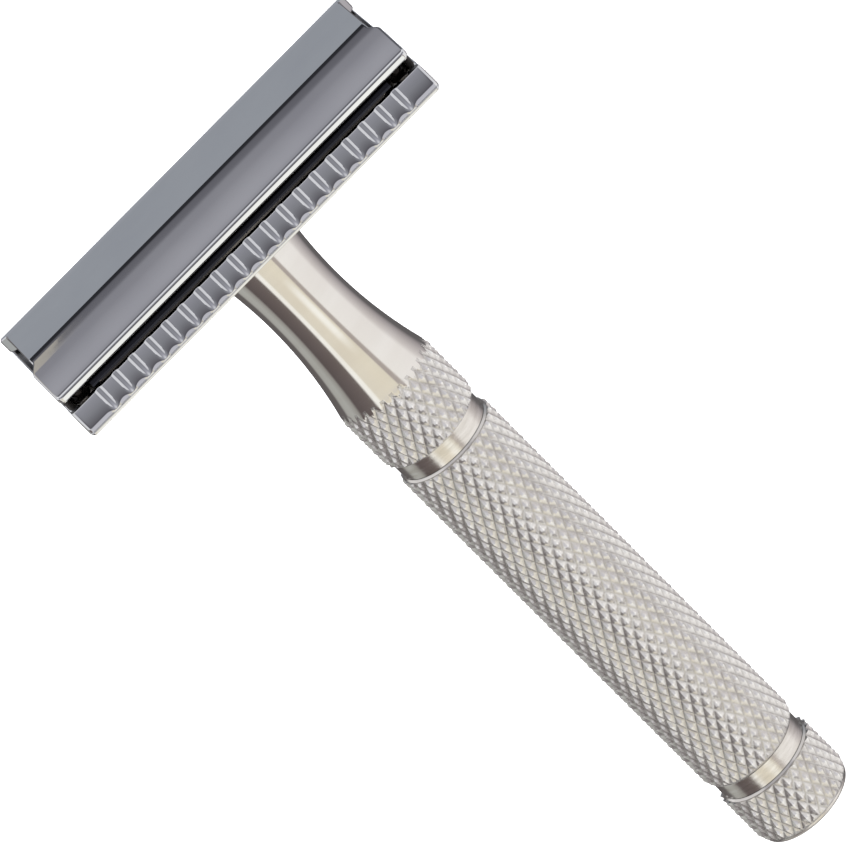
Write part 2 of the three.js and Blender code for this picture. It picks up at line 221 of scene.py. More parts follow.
# Colours of the tent by azimuth, from behind on the left round the front to behind on the right.
TENT = [
    (-180, (92, 88, 88)), (-130, (100, 96, 96)), (-122, (166, 166, 163)), (-106, (170, 171, 168)),
    (-92, (150, 148, 145)), (-86, (92, 84, 84)), (-60, (104, 95, 94)), (-48, (112, 104, 101)),
    (-44, (246, 245, 242)), (-36, (246, 245, 239)), (-33, (222, 216, 202)), (-2, (226, 219, 203)),
    (13, (224, 218, 202)), (15.5, (172, 163, 160)), (23, (176, 168, 163)), (26, (238, 236, 234)),
    (81, (235, 232, 231)), (92, (208, 203, 203)), (120, (158, 152, 155)), (134, (100, 98, 100)),
    (180, (92, 88, 88)),
]
# Colours of the sky by elevation, in front, at the sides and behind.
FRONT_SKY = [
    (-90, (200, 198, 203)), (13, (192, 190, 196)), (17.5, (96, 95, 99)), (24, (94, 92, 97)),
    (31, (130, 130, 135)), (45, (160, 159, 167)), (51, (196, 195, 199)), (60, (224, 223, 225)),
    (80, (222, 222, 225)), (90, (190, 190, 194)),
]
SIDE_SKY = [
    (-90, (60, 58, 58)), (-4, (150, 149, 151)), (5, (222, 221, 223)), (10, (226, 225, 227)),
    (22, (212, 211, 214)), (48, (214, 213, 216)), (62, (238, 237, 238)), (80, (240, 239, 240)),
    (90, (200, 199, 202)),
]
BACK_SKY = [
    (-90, (150, 153, 160)), (26, (149, 152, 158)), (28, (78, 78, 82)), (32, (40, 40, 44)),
    (42, (46, 46, 50)), (49, (95, 94, 100)), (55.5, (104, 103, 109)), (58.5, (132, 131, 137)),
    (62, (138, 137, 143)), (64.5, (160, 159, 165)), (68, (112, 111, 117)), (80, (98, 97, 102)),
    (90, (190, 190, 194)),
]

# ---- Camera, as the photograph sees the razor ----
CAMERA_AZIMUTH = -0.7
CAMERA_ELEVATION = 23.83
CAMERA_ROLL = 45.0
CAMERA_DISTANCE = 0.9
CAMERA_AIM_Z = 0.05426
CAMERA_AIM_SIDE = -0.00013
CAMERA_LENS = 422.8


# ======== Mesh helpers ========
def make_object(name, points, faces, face_slots=None):
    """A mesh object from points in millimetres."""
    mesh = bpy.data.meshes.new(name)
    mesh.from_pydata((np.asarray(points) * MM).tolist(), [], faces)
    if face_slots is not None:
        mesh.polygons.foreach_set("material_index", face_slots)
    mesh.update()
    piece = bpy.data.objects.new(name, mesh)
    bpy.context.scene.collection.objects.link(piece)
    return piece


def outward(piece):
    """Turns every face of a closed mesh outwards."""
    work = bmesh.new()
    work.from_mesh(piece.data)
    bmesh.ops.recalc_face_normals(work, faces=work.faces)
    work.to_mesh(piece.data)
    work.free()


def paint_hidden(piece, hidden):
    """Gives material slot 1 to the faces for which hidden(centre in mm, normal) is true."""
    for face in piece.data.polygons:
        face.material_index = 1 if hidden(np.array(face.center) / MM, face.normal) else 0


def finish_piece(piece, materials, body, nodes, sharp_degrees=35):
    """Shading, materials and the CAD body and nodes that a piece stands for."""
    outward(piece)
    piece.data.shade_smooth()
    piece.data.set_sharp_from_angle(angle=math.radians(sharp_degrees))
    for material in materials:
        piece.data.materials.append(material)
    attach(piece, body)
    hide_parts(*nodes)
    return piece


def grid_faces(rows, columns, close_columns=True, close_rows=False, knurled=()):
    """Faces of a grid of points. Rows in the range `knurled` are cut into triangles along the
    grooves of the knurling."""
    faces = []
    row_count = rows if close_rows else rows - 1
    column_count = columns if close_columns else columns - 1
    for i in range(row_count):
        low, high = i * columns, ((i + 1) % rows) * columns
        for j in range(column_count):
            k = (j + 1) % columns
            a, b, c, d = low + j, low + k, high + k, high + j
            if i not in knurled:
                faces.append((a, b, c, d))
            elif (i - knurled.start + j) % 2:
                faces += [(a, b, d), (b, c, d)]
            else:
                faces += [(a, b, c), (a, c, d)]
    return faces


def turn_angles(columns):
    """Evenly spaced angles of one turn."""
    return np.arange(columns) / columns * 2 * math.pi


def ring(columns, radii, z):
    """Points at one height round the Z axis, from -Y towards +X."""
    angles = turn_angles(columns)
    across, along = radii * np.sin(angles), -radii * np.cos(angles)
    return np.stack([across, along, np.full(columns, z)], axis=1)


def lathe_points(profile, columns):
    """Points of a profile of (radius, height) pairs turned round the Z axis."""
    return np.array([ring(columns, radius, height) for radius, height in profile])


def with_poles(points, faces):
    """Closes a stack of rings with a pole on the axis below the first and above the last."""
    rows, columns = points.shape[:2]
    flat = points.reshape(-1, 3)
    poles = np.array([[0, 0, points[0, 0, 2]], [0, 0, points[-1, 0, 2]]])
    bottom, top = len(flat), len(flat) + 1
    last = (rows - 1) * columns
    for j in range(columns):
        k = (j + 1) % columns
        faces.append((bottom, k, j))
        faces.append((top, last + j, last + k))
    return np.vstack([flat, poles]), faces


def capped_loft(sections):
    """A closed solid through equal rings of points, with its first and last ring filled."""
    points = np.array(sections)
    rows, count = points.shape[:2]
    last = (rows - 1) * count
    faces = grid_faces(rows, count)
    faces.append(tuple(reversed(range(count))))
    faces.append(tuple(range(last, last + count)))
    return points.reshape(-1, 3), faces


def mirrored(half):
    """A rising list from 0, with its negative values put before it."""
    return [-value for value in reversed(half[1:])] + half


def slab(xs, ys, upper, lower):
    """A closed sheet over a grid, between the heights that upper(x, y) and lower(x, y) give."""
    places = [(x, y) for x in xs for y in ys]
    points = [(x, y, upper(x, y)) for x, y in places] + [(x, y, lower(x, y)) for x, y in places]
    rows, columns = len(xs), len(ys)
    count = rows * columns
    faces = grid_faces(rows, columns, close_columns=False)
    under = [tuple(v + count for v in reversed(face)) for face in faces]
    border = list(range(columns)) + [i * columns + columns - 1 for i in range(1, rows)]
    border += [(rows - 1) * columns + j for j in reversed(range(columns - 1))]
    border += [i * columns for i in reversed(range(1, rows - 1))]
    sides = [(a, b, b + count, a + count) for a, b in zip(border, border[1:] + border[:1])]
    return np.array(points), faces + under + sides


def shift_mesh(mesh_data, dx=0.0, dy=0.0, dz=0.0):
    """A mesh's (points, faces), moved."""
    points, faces = mesh_data
    return np.asarray(points) + np.array([dx, dy, dz]), faces


def join_meshes(parts):
    """Several (points, faces) as one."""
    points, faces, offset = [], [], 0
    for part_points, part_faces in parts:
        points.append(np.asarray(part_points).reshape(-1, 3))
        faces += [tuple(v + offset for v in face) for face in part_faces]
        offset += len(points[-1])
    return np.vstack(points), faces


def prism(outline, low, high):
    """A closed prism along Z over an outline of (x, y) pairs."""
    count = len(outline)
    points = [(x, y, low) for x, y in outline] + [(x, y, high) for x, y in outline]
    faces = [tuple(reversed(range(count))), tuple(range(count, 2 * count))]
    for i in range(count):
        j = (i + 1) % count
        faces.append((i, j, count + j, count + i))
    return np.array(points, float), faces


def rounded_rectangle(x, y, half_x, half_y, radius, steps=6):
    """Outline of a rectangle with rounded corners, centred on (x, y)."""
    outline = []
    for quarter, (sx, sy) in enumerate(((1, 1), (-1, 1), (-1, -1), (1, -1))):
        for i in range(steps + 1):
            angle = (quarter + i / steps) * math.pi / 2
            outline.append((
                x + sx * (half_x - radius) + radius * math.cos(angle),
                y + sy * (half_y - radius) + radius * math.sin(angle),
            ))
    return outline


def circle(x, y, radius, sides=48):
    """Outline of a circle."""
    angles = [i / sides * 2 * math.pi for i in range(sides)]
    return [(x + radius * math.cos(a), y + radius * math.sin(a)) for a in angles]


def lathe_ring(profile, columns=96):
    """A closed profile turned round the Z axis."""
    points = lathe_points(profile, columns)
    return points.reshape(-1, 3), grid_faces(len(profile), columns, close_rows=True)


def lathe_solid(profile, columns=48):
    """An open profile turned round the Z axis, with both ends closed on the axis."""
    points = lathe_points(profile, columns)
    return with_poles(points, grid_faces(len(profile), columns))


def boolean(piece, operation, cutter_data):
    """Adds or cuts another closed mesh, and keeps the result as the piece's own mesh."""
    cutter = make_object("boolean_tool", *cutter_data)
    outward(cutter)
    outward(piece)
    modifier = piece.modifiers.new("boolean", "BOOLEAN")
    modifier.operation = operation
    modifier.solver = "EXACT"
    modifier.object = cutter
    graph = bpy.context.evaluated_depsgraph_get()
    result = bpy.data.meshes.new_from_object(piece.evaluated_get(graph))
    piece.modifiers.clear()
    piece.data = result
    bpy.data.objects.remove(cutter)


def fillet(centre, radius, start, end, steps=4):
    """Points of an arc about centre, from start to end degrees."""
    angles = np.radians(np.linspace(start, end, steps + 1))
    return [(centre[0] + radius * math.cos(a), centre[1] + radius * math.sin(a)) for a in angles]


# ======== Material helpers ========
def linear(red, green, blue):
    """A colour of 0 to 255 as Blender's linear colour."""
    channels = []
    for value in (red, green, blue):
        share = value / 255
        if share <= 0.04045:
            channels.append(share / 12.92)
        else:
            channels.append(((share + 0.055) / 1.055) ** 2.4)
    return (*channels, 1.0)


class Graph:
    """Adds nodes to a node tree in one line each."""

    def __init__(self, tree):
        self.tree = tree
        self.tree.nodes.clear()

    def node(self, kind, inputs=None, **settings):
        made = self.tree.nodes.new(kind)
        for key, value in settings.items():
            setattr(made, key, value)
        for key, value in (inputs or {}).items():
            if isinstance(value, bpy.types.NodeSocket):
                self.tree.links.new(value, made.inputs[key])
            else:
                made.inputs[key].default_value = value
        return made

    def maths(self, operation, first, second=None):
        inputs = {0: first}
        if second is not None:
            inputs[1] = second
        return self.node("ShaderNodeMath", inputs, operation=operation).outputs[0]

    def mapped(self, value, low, high, to_low=0.0, to_high=1.0, smooth=False):
        kind = "SMOOTHSTEP" if smooth else "LINEAR"
        inputs = {"Value": value, "From Min": low, "From Max": high}
        inputs.update({"To Min": to_low, "To Max": to_high})
        return self.node("ShaderNodeMapRange", inputs, interpolation_type=kind).outputs["Result"]

    def mixed(self, factor, first, second):
        inputs = {0: factor, 6: first, 7: second}
        return self.node("ShaderNodeMix", inputs, data_type="RGBA").outputs[2]

    def ramp(self, factor, stops):
        made = self.node("ShaderNodeValToRGB", {0: factor})
        elements = made.color_ramp.elements
        while len(elements) < len(stops):
            elements.new(0.5)
        for element, (position, colour) in zip(elements, stops):
            element.position = position
            element.color = colour
        return made.outputs[0]

    def noise(self, vector, scale, detail=2.0, roughness=0.5):
        """Noise at one scale, or drawn out by a scale for each axis."""
        if isinstance(scale, tuple):
            vector = self.node("ShaderNodeMapping", {"Vector": vector, "Scale": scale}).outputs[0]
            scale = 1.0
        inputs = {"Vector": vector, "Scale": scale, "Detail": detail, "Roughness": roughness}
        return self.node("ShaderNodeTexNoise", inputs).outputs["Fac"]

    def bump(self, height, strength, distance, normal=None):
        inputs = {"Height": height, "Strength": strength, "Distance": distance}
        if normal is not None:
            inputs["Normal"] = normal
        return self.node("ShaderNodeBump", inputs).outputs[0]


def principled(name, inputs_of):
    """A material with one Principled shader, whose inputs inputs_of(graph, place) gives."""
    material = bpy.data.materials.new(name)
    material.use_nodes = True
    graph = Graph(material.node_tree)
    place = graph.node("ShaderNodeTexCoord").outputs["Object"]
    shader = graph.node("ShaderNodeBsdfPrincipled", inputs_of(graph, place))
    graph.node("ShaderNodeOutputMaterial", {"Surface": shader.outputs[0]})
    return material


def metal(name, colour_of, roughness_of, bump_of, anisotropic=0.0, metallic=1.0):
    """A metal whose colour, roughness and bump come from the three given functions."""

    def inputs(graph, place):
        made = {"Metallic": metallic, "Anisotropic": anisotropic}
        made["Base Color"] = colour_of(graph, place)
        made["Roughness"] = roughness_of(graph, place)
        made["Normal"] = bump_of(graph, place)
        if anisotropic:
            tangent = graph.node("ShaderNodeTangent", direction_type="RADIAL", axis="Z")
            made["Tangent"] = tangent.outputs[0]
        return made

    return principled(name, inputs)


def tones(field, first, second):
    """Colour that wanders between two tones along a noise field."""
    return lambda graph, place: graph.mixed(
        graph.mapped(graph.noise(place, *field), 0.35, 0.7), linear(*first), linear(*second))


def uneven(field, top, low, high):
    """Roughness that wanders from low to high along a noise field, between 0.3 and top."""
    return lambda graph, place: graph.mapped(graph.noise(place, *field), 0.3, top, low, high)


def relief(field, strength, depth):
    """Bump from a noise field."""
    return lambda graph, place: graph.bump(graph.noise(place, *field), strength, depth)


def scratches(graph, place, direction, threshold=0.72):
    """Sparse hairlines: noise drawn out along one direction, with only its peaks kept."""
    field = graph.noise(place, direction, 3.0, 0.6)
    return graph.mapped(field, threshold, threshold + 0.08)


def chrome_material():
    """Mirror chrome plate: faint haze, hairlines and a trace of orange peel."""

    def roughness(graph, place):
        haze = uneven((220.0, 4.0, 0.6), 0.75, 0.02, 0.05)(graph, place)
        lines = scratches(graph, place, (90.0, 2600.0, 2600.0))
        return graph.maths("ADD", haze, graph.maths("MULTIPLY", lines, 0.06))

    def bump(graph, place):
        peel = relief((900.0, 2.0), 0.02, 0.00001)(graph, place)
        lines = scratches(graph, place, (120.0, 3400.0, 3400.0), 0.7)
        return graph.bump(lines, 0.03, 0.00001, peel)

    colour = tones((130.0, 3.0), (245, 247, 249), (238, 240, 243))
    return metal("mirror_chrome", colour, roughness, bump)


def shaded_satin_chrome_material():
    """Chrome over an unpolished casting, on the faces that hold the blade and under the cap:
    rougher, and coloured darker than the mirror chrome as painted shade.
    """
    return metal(
        "satin_chrome_painted_shade",
        # Painted shade: two dark tones for the faces that lie in shade inside the head.
        tones((300.0, 4.0), (150, 146, 142), (122, 118, 114)),
        uneven((1200.0, 4.0, 0.6), 0.7, 0.26, 0.4),
        relief((2200.0, 3.0), 0.2, 0.00002),
    )


def polished_neck_material():
    """Polished steel with faint rings left by turning and buffing."""
    return metal(
        "polished_neck_steel",
        tones(((60.0, 60.0, 400.0), 3.0), (250, 248, 244), (244, 241, 236)),
        uneven(((30.0, 30.0, 2500.0), 3.0, 0.6), 0.75, 0.05, 0.12),
        relief(((20.0, 20.0, 3500.0), 3.0, 0.6), 0.08, 0.00002),
    )


def knurl_material():
    """Satin steel: colour painted darker down into the grooves as painted shade and lightest on
    the crests, smoother worn crests and rougher grooves, fine tool marks.
    """

    def height_over_root(graph, place):
        across = {0: place, 1: (1.0, 1.0, 0.0)}
        flat = graph.node("ShaderNodeVectorMath", across, operation="MULTIPLY")
        length = graph.node("ShaderNodeVectorMath", {0: flat.outputs[0]}, operation="LENGTH")
        return graph.mapped(length.outputs["Value"], KNURL_ROOT_R * MM, CREST_R * MM)

    def colour(graph, place):
        grime = graph.mapped(graph.noise(place, 900.0, 4.0, 0.65), 0.3, 0.7, -0.15, 0.15)
        # Painted shade: the colour darkens from the crests down into the grooves, by height over
        # the roots.
        stops = [
            (0.0, linear(204, 202, 199)),
            (0.3, linear(230, 228, 225)),
            (0.85, linear(247, 246, 244)),
            (1.0, linear(254, 254, 253)),
        ]
        return graph.ramp(graph.maths("ADD", height_over_root(graph, place), grime), stops)

    def roughness(graph, place):
        grain = uneven((2600.0, 3.0, 0.6), 0.7, -0.03, 0.04)(graph, place)
        worn = graph.mapped(height_over_root(graph, place), 0.0, 1.0, 0.17, 0.09)
        return graph.maths("ADD", worn, grain)

    def bump(graph, place):
        marks = graph.noise(place, 5200.0, 3.0, 0.6)
        dents = relief((1700.0, 2.0), 0.2, 0.00002)(graph, place)
        return graph.bump(marks, 0.14, 0.00001, dents)

    return metal("knurled_satin_steel", colour, roughness, bump, metallic=KNURL_METALLIC)


def band_material():
    """Finely turned steel, with rings of tool marks round the handle's axis."""
    return metal(
        "turned_band_steel",
        tones(((500.0, 500.0, 2500.0), 3.0), (252, 249, 244), (236, 232, 225)),
        uneven(((150.0, 150.0, 7000.0), 3.0, 0.6), 0.75, 0.1, 0.22),
        relief(((120.0, 120.0, 9000.0), 4.0, 0.65), 0.3, 0.00003),
        anisotropic=0.35,
    )


def stud_material():
    """Machined steel of the stud, posts and tie rod."""
    return metal(
        "machined_stud_steel",
        tones((700.0, 4.0), (214, 212, 208), (184, 182, 178)),
        uneven(((300.0, 300.0, 5000.0), 3.0, 0.6), 0.75, 0.2, 0.38),
        relief(((200.0, 200.0, 6000.0), 3.0), 0.2, 0.00002),
    )


def brass_material():
    """Machined brass of the threaded bush."""
    return metal(
        "machined_brass",
        tones((500.0, 4.0), (214, 178, 98), (168, 130, 66)),
        uneven((1500.0, 3.0), 0.7, 0.22, 0.4),
        relief(((200.0, 200.0, 5000.0), 3.0), 0.2, 0.00002),
    )


def blade_material():
    """Dark blued sheet steel with its two long edges ground bright."""

    def colour(graph, place):
        blued = tones(((180.0, 700.0, 700.0), 4.0), (30, 31, 38), (46, 46, 54))(graph, place)
        y = graph.node("ShaderNodeSeparateXYZ", {0: place}).outputs["Y"]
        edge = graph.mapped(graph.maths("ABSOLUTE", y), *GROUND_FROM)
        return graph.mixed(edge, blued, linear(86, 88, 96))

    roughness = uneven(((150.0, 4000.0, 4000.0), 3.0), 0.7, 0.2, 0.34)
    bump = relief(((100.0, 5200.0, 5200.0), 3.0), 0.15, 0.00001)
    return metal("blued_blade_steel", colour, roughness, bump)


def floor_material():
    """Plain pale table, lit a little from within like a sweep on a light table."""

    def inputs(graph, place):
        grain = graph.mapped(graph.noise(place, 40.0, 3.0), 0.3, 0.7)
        return {
            "Base Color": graph.mixed(grain, linear(246, 246, 246), linear(250, 250, 250)),
            "Roughness": 0.9,
            "Emission Color": (1.0, 1.0, 1.0, 1.0),
            "Emission Strength": FLOOR_GLOW,
        }

    return principled("pale_floor", inputs)


# ======== Handle ========
def knurl_height(column, height):
    """Height of the knurling at grid columns and a height, from 0 in a groove to 1 on a crest."""
    turn = column / TOOTH_COLUMNS
    climb = height / KNURL_PERIOD
    waves = [np.abs(wave - np.round(wave)) * 2 for wave in (turn + climb, turn - climb)]
    return np.interp(np.minimum(*waves), [0, 0.12, 0.9, 1.0], [0.0, 0.03, 0.95, 1.0])


def knurled_rows(low, high, envelope):
    """Rows of points of a knurled surface between two heights, held inside the envelope."""
    rows = []
    for height in [*np.arange(0, high - low - KNURL_STEP / 3, KNURL_STEP), high - low]:
        cut = CREST_R - KNURL_DEPTH * (1 - knurl_height(np.arange(COLUMNS), height))
        rows.append(ring(COLUMNS, np.minimum(cut, envelope(low + height)), low + height))
    return np.array(rows)


def rim_profile(high):
    """Plain ring and chamfer at the upper rim of a knurled section."""
    step_r = KNURL_ROOT_R - 0.04
    return [
        (step_r, high - RIM_LIP),
        (step_r, high - RIM_LIP + 0.02),
        (RIM_LIP_R, high - RIM_LIP + 0.03),
        (RIM_LIP_R - 0.03, high - 0.14),
        (BAND_R + 0.015, high - 0.005),
        (BAND_R + 0.012, high),
    ]


def knurled_section(foot, knurl, rim, closed=False):
    """Points and faces of a turned section: a profile, rows of knurling, and a profile above.
    A closed one joins its last row to its first, any other ends on the axis."""
    below, above = lathe_points(foot, COLUMNS), lathe_points(rim, COLUMNS)
    points = np.concatenate([below, knurl, above])
    knurled = range(len(foot), len(foot) + len(knurl) - 1)
    faces = grid_faces(len(points), COLUMNS, close_rows=closed, knurled=knurled)
    if closed:
        return points.reshape(-1, 3), faces
    return with_poles(points, faces)


def turned_faces(points, faces, low, high):
    """Material slots of a knurled section: 1 on its turned rims and ends, 0 on its knurling."""
    slots = []
    for face in faces:
        height = points[list(face), 2].mean()
        radius = np.hypot(points[list(face), 0], points[list(face), 1]).mean()
        slots.append(1 if radius < BAND_R - 0.2 or height > high or height < low else 0)
    return slots


def knob(materials):
    """End knob: knurled, with a plain rounded rim round its flat end."""
    low, high = KNOB_LOW[2], KNOB_HIGH[2]

    def envelope(z):
        share = min(1.0, (z - low - KNOB_PLAIN) / (KNOB_CUT - KNOB_PLAIN))
        return KNOB_FOOT_R + (CREST_R - KNOB_FOOT_R) * (1 - (1 - share) ** 1.6)

    foot = [(0.6, low), (KNOB_FOOT_R - 0.52, low)]
    foot += [(r, low + z) for r, z in fillet((KNOB_FOOT_R - 0.5, 0.48), 0.48, -75, 0, 6)]
    foot += [(KNOB_FOOT_R - 0.01, low + KNOB_PLAIN)]
    rim = rim_profile(high) + [(ROD_BORE_R, high), (ROD_BORE_R, low + ROD_BORE_FLOOR)]
    knurl = knurled_rows(low + KNOB_PLAIN + 0.02, high - RIM_LIP - RIM_GAP, envelope)
    points, faces = knurled_section(foot, knurl, rim)
    slots = turned_faces(points, faces, low + KNOB_PLAIN + 0.01, high - RIM_LIP - 0.01)
    piece = make_object("knurled_end_knob", points, faces, slots)
    return finish_piece(piece, materials, "handle", ["end_knob"], SHARP_ON_KNURL)


def barrel(materials):
    """Long knurled barrel, chamfered at its lower rim and with a plain ring at its upper one."""
    low, high = BARREL_LOW[2], BARREL_HIGH[2]

    def envelope(z):
        share = min(1.0, (z - low) / RIM_CUT)
        return BAND_R + 0.03 + (CREST_R - BAND_R - 0.03) * share

    foot = [(BARREL_BORE_R, low), (BAND_R, low)]
    rim = rim_profile(high) + [(BARREL_BORE_R, high)]
    knurl = knurled_rows(low + 0.03, high - RIM_LIP - RIM_GAP, envelope)
    points, faces = knurled_section(foot, knurl, rim, closed=True)
    slots = turned_faces(points, faces, low + 0.02, high - RIM_LIP - 0.01)
    piece = make_object("knurled_grip_barrel", points, faces, slots)
    return finish_piece(piece, materials, "handle", ["grip_barrel"], SHARP_ON_KNURL)


def neck_radius(z):
    """Radius of the neck's hollow sweep at a height."""
    return NECK_MIN_R + NECK_ARC_R - math.sqrt(NECK_ARC_R ** 2 - (z - NECK_MIN_Z) ** 2)


def neck(materials):
    """Knurled collar and polished flare, one turned piece with its bores."""
    low, high = NECK_LOW[2], NECK_HIGH[2]

    def envelope(z):
        share = min(1.0, (z - low) / (RIM_CUT / 2))
        start = BAND_R + 0.15 + (CREST_R - BAND_R - 0.15) * share
        return min(start, neck_radius(z))

    to_root = NECK_ARC_R + NECK_MIN_R - CREST_R + KNURL_DEPTH
    run_out = NECK_MIN_Z - math.sqrt(NECK_ARC_R ** 2 - to_root ** 2)
    foot = [(ROD_BORE_R, low + ROD_WELL), (ROD_BORE_R, low), (BAND_R + 0.1, low)]
    knurl = knurled_rows(low + 0.02, run_out + 0.05, envelope)
    flare = [(neck_radius(z), z) for z in np.linspace(run_out + 0.12, high - NECK_CHAMFER, 70)]
    rim = [
        (neck_radius(high) - 0.03, high - 0.03),
        (neck_radius(high) - NECK_CHAMFER, high),
        (BUSH_BORE_R, high),
        (BUSH_BORE_R, high - BUSH_DEPTH),
        (WELL_R, high - BUSH_DEPTH),
        (WELL_R, high - WELL_DEPTH),
    ]
    points, faces = knurled_section(foot, knurl, flare + rim)
    slots = []
    for face in faces:
        x, y, z = points[list(face)].mean(axis=0)
        on_flare = z > FLARE_FROM and math.hypot(x, y) > neck_radius(min(z, high)) - 0.012
        slots.append(1 if on_flare or z > run_out + 0.05 else 0)
    piece = make_object("knurled_collar_and_neck", points, faces, slots)
    return finish_piece(piece, materials, "handle", ["neck"], SHARP_ON_KNURL)


def band_face(low, high):
    """Profile of a band's visible face, with a fine chamfer at each rim."""
    return [
        (BAND_R - BAND_EDGE, low), (BAND_R, low + BAND_EDGE), (BAND_R, (low + high) / 2),
        (BAND_R, high - BAND_EDGE), (BAND_R - BAND_EDGE, high),
    ]


def band(name, node, shoulder_up, material):
    """A plain turned ring with a shoulder inside the barrel."""
    node_low, node_high = box_mm(node)
    low, high = node_low[2], node_high[2]
    tip_r = SHOULDER_R - SHOULDER_CHAMFER
    if shoulder_up:
        step = high - SHOULDER_LENGTH
        profile = [(ROD_BORE_R, low)] + band_face(low, step)
        profile += [(SHOULDER_R, step), (SHOULDER_R, high - SHOULDER_CHAMFER), (tip_r, high)]
    else:
        step = low + SHOULDER_LENGTH
        profile = [(ROD_BORE_R, low), (tip_r, low), (SHOULDER_R, low + SHOULDER_CHAMFER)]
        profile += [(SHOULDER_R, step)] + band_face(step, high)
    profile.append((ROD_BORE_R, high))
    piece = make_object(name, *lathe_ring(profile, 192))
    return finish_piece(piece, [material], "handle", [node], 30)


# ======== Head ========
def arc_height(radius, y):
    """Height of an arc over the crown's centre."""
    return ARC_CENTRE + math.sqrt(radius * radius - y * y)


def end_height(x):
    """Height of the base plate's rounded end at |x|."""
    run = HEAD_HALF - abs(x)
    if run >= PLATE_END_RUN:
        return CROWN_TOP + 1
    t = math.sqrt(max(run, 0) / PLATE_END_RUN)
    return PLATE_END_CREST - PLATE_END_DROP * (1 - t) ** 2


def end_reach(z):
    """How far out the rounded end reaches at a height."""
    if z <= PLATE_END_CREST - PLATE_END_DROP:
        return HEAD_HALF
    t = 1 - math.sqrt(max(PLATE_END_CREST - z, 0) / PLATE_END_DROP)
    return HEAD_HALF - PLATE_END_RUN * t * t


def plate_top(x, y):
    """Height of the plate's upper side: crowned, sloping to the bars, rounded off at the ends."""
    if abs(y) <= CROWN_HALF:
        crown = arc_height(CROWN_R, y)
    else:
        shoulder = arc_height(CROWN_R, CROWN_HALF)
        share = min(1.0, (abs(y) - CROWN_HALF) / (BAR_INNER - CROWN_HALF))
        crown = shoulder + (BAR_LAND - 0.01 - shoulder) * share
    return min(crown, end_height(x)) + HEAD_Z


def plate_core():
    """Crowned middle of the base plate, without the bars."""
    middle_x = list(np.linspace(0, PLATE_REACH - PLATE_END_ROWS, 14))
    quarter = np.linspace(0, math.pi / 2, 14)[1:]
    end_x = [PLATE_REACH - PLATE_END_ROWS * (1 - math.sin(a)) for a in quarter]
    half_y = list(np.linspace(0, CROWN_HALF, 30))
    half_y += [CROWN_HALF + 0.3, 9.3, BAR_INNER, BAR_INNER + 0.3]
    underside = PLATE_UNDERSIDE + HEAD_Z
    return slab(mirrored(middle_x + end_x), mirrored(half_y), plate_top, lambda x, y: underside)


def tagged(kind, points):
    """(y, z) points as (y, z, kind)."""
    return [(y, z, kind) for y, z in points]


def bar_profile(arch):
    """Outline of one safety bar as (y, z, kind), from the foot of its inner wall round the
    outside and back along its underside. Scallops cut the kinds "land" and "face". The narrow
    upright band along the face's foot is `arch` high: 1 between scallops, 0 beside them."""
    lean = math.degrees(math.atan(FACE_SLOPE))
    inner = BAR_WALL + fillet((BAR_INNER + 0.05, BAR_LAND - 0.05), 0.05, 180, 90, 3)[1:]
    land = [(y, BAR_LAND) for y in (BAR_INNER + 0.2, BAR_INNER + 0.4, LAND_OUTER - 0.12)]
    reach = BAR_TOP_R * math.tan(math.radians((90 - lean) / 2))
    corner = fillet((LAND_OUTER - reach, BAR_LAND - BAR_TOP_R), BAR_TOP_R, 90, lean, 4)
    foot_y = FOOT_BAND_SIDE[0] + (FOOT_BAND_MIDDLE[0] - FOOT_BAND_SIDE[0]) * arch
    top_z = FOOT_BAND_SIDE[1] + (FOOT_BAND_MIDDLE[1] - FOOT_BAND_SIDE[1]) * arch
    top_y = LAND_OUTER + (BAR_LAND - top_z) * FACE_SLOPE
    face = corner[1:]
    for share in np.linspace(0.06, 0.97, 13):
        y = LAND_OUTER + (top_y - LAND_OUTER) * share
        z = BAR_LAND + (top_z - BAR_LAND) * share
        bulge = BAR_BULGE * 4 * share * (1 - share)
        face.append((y + bulge, z + bulge * 0.5))
    low_z = BAR_EDGE_Z + 0.04
    for share in (0.04, 0.12, 0.35, 0.65, 1.0):
        face.append((top_y + (foot_y - top_y) * share, top_z + (low_z - top_z) * share))
    lower = [(foot_y - 0.02, BAR_EDGE_Z + 0.005), (foot_y - 0.02, BAR_EDGE_Z - 0.02)]
    lower += [(PLATE_HALF - 0.02, BAR_EDGE_Z - 0.045), (PLATE_HALF, BAR_EDGE_Z - 0.08)]
    lower += fillet((PLATE_HALF - 0.06, 0.06), 0.06, 0, -90, 3)
    lower += [(BAR_BOTTOM_INNER + 0.6, 0.0), (BAR_BOTTOM_INNER + 0.05, 0.0)]
    upper = tagged("plain", inner) + tagged("land", land + corner[:1])
    return upper + tagged("face", face) + tagged("plain", lower)


def scallop_offset(x):
    """Distance along a bar from x to the middle of the nearest scallop."""
    place = abs(x) / SCALLOP_PITCH
    return abs(place - min(round(place), (SCALLOPS - 1) // 2)) * SCALLOP_PITCH


def band_arch(x):
    """How high the band at the foot of the face stands at x, from 0 beside a scallop to 1."""
    share = min(1.0, max(0.0, (scallop_offset(x) - 0.3) / (SCALLOP_PITCH / 2 - 0.3)))
    return 1 - (1 - share) ** 2


def foot_reach(z):
    """How far out the rounded lower corner of the bar's end reaches at a height."""
    if z >= BAR_FOOT_R:
        return HEAD_HALF
    return HEAD_HALF - BAR_FOOT_R + math.sqrt(max(BAR_FOOT_R ** 2 - (BAR_FOOT_R - z) ** 2, 0.0))


